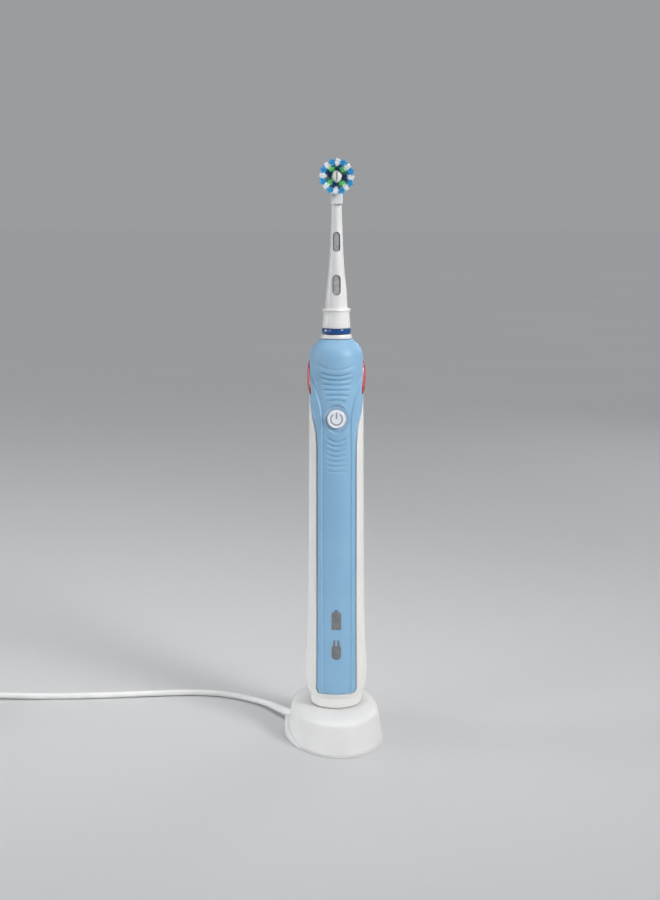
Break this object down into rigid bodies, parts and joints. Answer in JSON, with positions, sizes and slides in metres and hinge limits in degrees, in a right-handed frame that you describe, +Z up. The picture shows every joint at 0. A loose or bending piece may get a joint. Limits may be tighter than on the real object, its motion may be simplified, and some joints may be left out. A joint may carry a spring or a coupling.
{
  "type": "electric toothbrush on charger",
  "caption": "Upright electric toothbrush with a round brush head, ribbed two-colour handle and power button, standing on an oval inductive charger with a mains cord.",
  "frame": {"origin": "point of the charger's flat underside that lies on the handle's long axis", "axes": "+Z up along the handle's long axis, -Y the front that carries the button and faces the bristles' way, +X to the right seen from the front"},
  "size_m": [0.264, 0.1101, 0.2655],
  "materials": {
    "white_plastic": "satin moulded",
    "inner_plastic": "moulded",
    "blue_rubber": "soft satin",
    "navy_plastic": "glossy",
    "red_lens": "clear glossy",
    "grey_lens": "smoked",
    "grey_rubber": "matte",
    "black_rubber": "matte",
    "black_plastic": "moulded",
    "board": "lacquered",
    "cell_wrap": "shrink sleeve over a steel cell",
    "steel": "plain",
    "brass": "turned",
    "copper": "enamelled winding",
    "ferrite": "sintered",
    "cord": "satin",
    "blue_bristle": "nylon filament",
    "green_bristle": "nylon filament"
  },
  "bodies": {
    "charger": {"charger_shell": "white_plastic", "charger_base_plate": "white_plastic", "coil_bobbin": "inner_plastic", "primary_coil": "copper", "ferrite_core": "ferrite", "charger_circuit_board": "board", "charger_capacitor": "black_plastic", "strain_relief": "cord", "mains_cord": "cord", "cord_coil": "cord", "plug_lead": "cord", "cord_tie": "black_plastic", "plug_body": "white_plastic", "plug_pin_left": "steel", "plug_pin_right": "steel"},
    "handle": {"handle_shell": "white_plastic", "front_grip": "blue_rubber", "back_grip": "blue_rubber", "neck_collar": "white_plastic", "shaft_seal": "black_rubber", "shaft_bush_upper": "brass", "shaft_bush_lower": "brass", "pressure_light_left": "red_lens", "pressure_light_right": "red_lens", "button_seal": "grey_rubber", "battery_lens": "grey_lens", "charge_lens": "grey_lens", "bottom_cap": "white_plastic", "cap_seal": "black_rubber", "charge_coil": "copper", "chassis": "inner_plastic", "drive_frame": "inner_plastic", "circuit_board": "board", "tact_switch": "steel", "control_chip": "black_plastic", "battery_led": "grey_lens", "charge_led": "grey_lens", "pressure_led": "red_lens", "battery_cell": "cell_wrap", "battery_contact_lower": "steel", "battery_contact_upper": "steel", "motor_can": "steel", "wheel_axle": "steel"},
    "button": {"power_button": "white_plastic"},
    "pinion": {"motor_pinion": "brass"},
    "wheel": {"drive_wheel": "inner_plastic", "crank_pin": "steel"},
    "shaft": {"drive_shaft": "steel", "rocker_arm": "inner_plastic"},
    "head": {"head_stem": "white_plastic", "colour_ring": "navy_plastic", "head_insert": "inner_plastic", "disc_pin": "steel"},
    "rod": {"drive_rod": "steel", "rod_coupling": "inner_plastic"},
    "brush": {"brush_disc": "white_plastic", "disc_hub": "white_plastic", "outer_tufts": "blue_bristle", "inner_tufts": "green_bristle"}
  },
  "joints": [
    {"name": "handle_lift", "type": "slide", "parent": "charger", "child": "handle", "axis": [0, 0, 1], "range_m": [0, 0.03]},
    {"name": "button_press", "type": "slide", "parent": "handle", "child": "button", "axis": [0, 1, 0], "range_m": [0, 0.0004], "stiffness_N_per_m": 1500},
    {"name": "wheel_spin", "type": "hinge", "parent": "handle", "child": "wheel", "pos_m": [0, 0.0054, 0.128], "axis": [0, 0, 1], "continuous": true},
    {"name": "pinion_spin", "type": "hinge", "parent": "handle", "child": "pinion", "pos_m": [0, 0, 0.128], "axis": [0, 0, 1], "continuous": true},
    {"name": "shaft_swing", "type": "hinge", "parent": "handle", "child": "shaft", "pos_m": [0, 0, 0.15], "axis": [0, 0, 1], "range_deg": [-22.5, 22.5]},
    {"name": "head_pull", "type": "slide", "parent": "handle", "child": "head", "axis": [0, 0, 1], "range_m": [0, 0.02]},
    {"name": "rod_swing", "type": "hinge", "parent": "head", "child": "rod", "pos_m": [0, 0, 0.22], "axis": [0, 0, 1], "range_deg": [-22.5, 22.5]},
    {"name": "brush_turn", "type": "hinge", "parent": "head", "child": "brush", "pos_m": [0, -0.005, 0.258], "axis": [0, -1, 0], "range_deg": [-22.5, 22.5]}
  ],
  "couplings": [
    {"joint": "pinion_spin", "follows": "wheel_spin", "ratio": -2.6},
    {"joint": "rod_swing", "follows": "shaft_swing", "ratio": 1},
    {"joint": "brush_turn", "follows": "shaft_swing", "ratio": 1}
  ]
}
